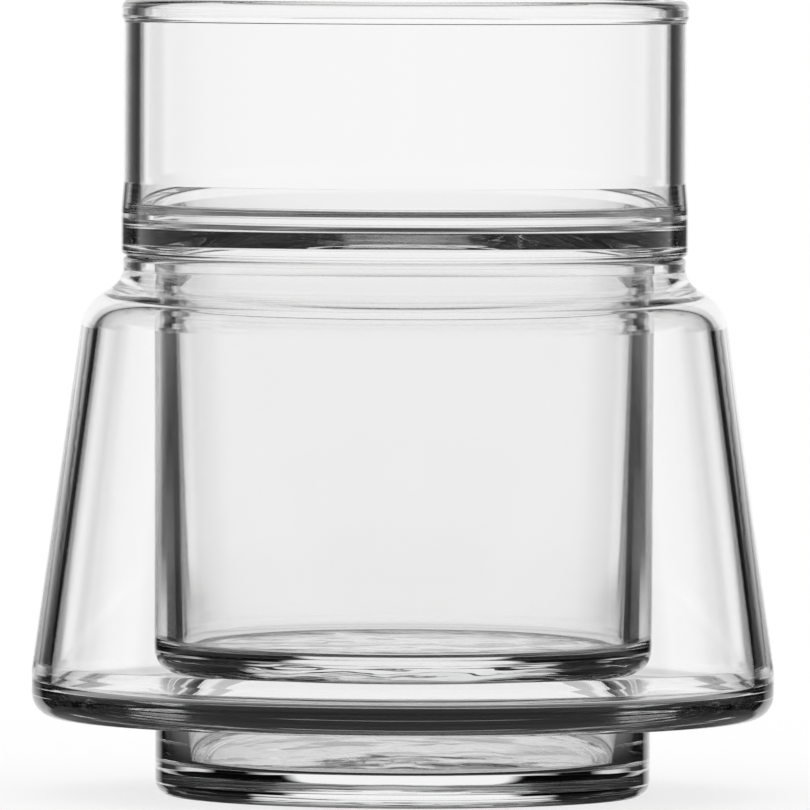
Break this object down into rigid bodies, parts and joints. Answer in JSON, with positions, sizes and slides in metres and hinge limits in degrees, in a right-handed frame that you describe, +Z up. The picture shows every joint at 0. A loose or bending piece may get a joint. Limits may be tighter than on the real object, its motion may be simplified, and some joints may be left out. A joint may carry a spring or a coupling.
{
  "type": "cortado glass",
  "caption": "Clear stepped tumbler that hangs by its ledge in the short neck of a flared, footed glass with a rounded shoulder and a thick base.",
  "frame": {"origin": "centre of the underside of the lower glass's foot, on the surface that it stands on", "axes": "+Z up along the common axis of both glasses; X and Y are alike, because both glasses are round"},
  "size_m": [0.0891, 0.089, 0.0955],
  "materials": {
    "upper_clear_glass": "clear, fire polished",
    "lower_clear_glass": "clear, fire polished"
  },
  "bodies": {
    "lower_glass": {"lower_glass": "lower_clear_glass"},
    "upper_glass": {"upper_glass": "upper_clear_glass"}
  },
  "joints": [
    {"name": "upper_glass_lift", "type": "slide", "parent": "lower_glass", "child": "upper_glass", "axis": [0, 0, 1], "range_m": [0, 0.06]}
  ]
}
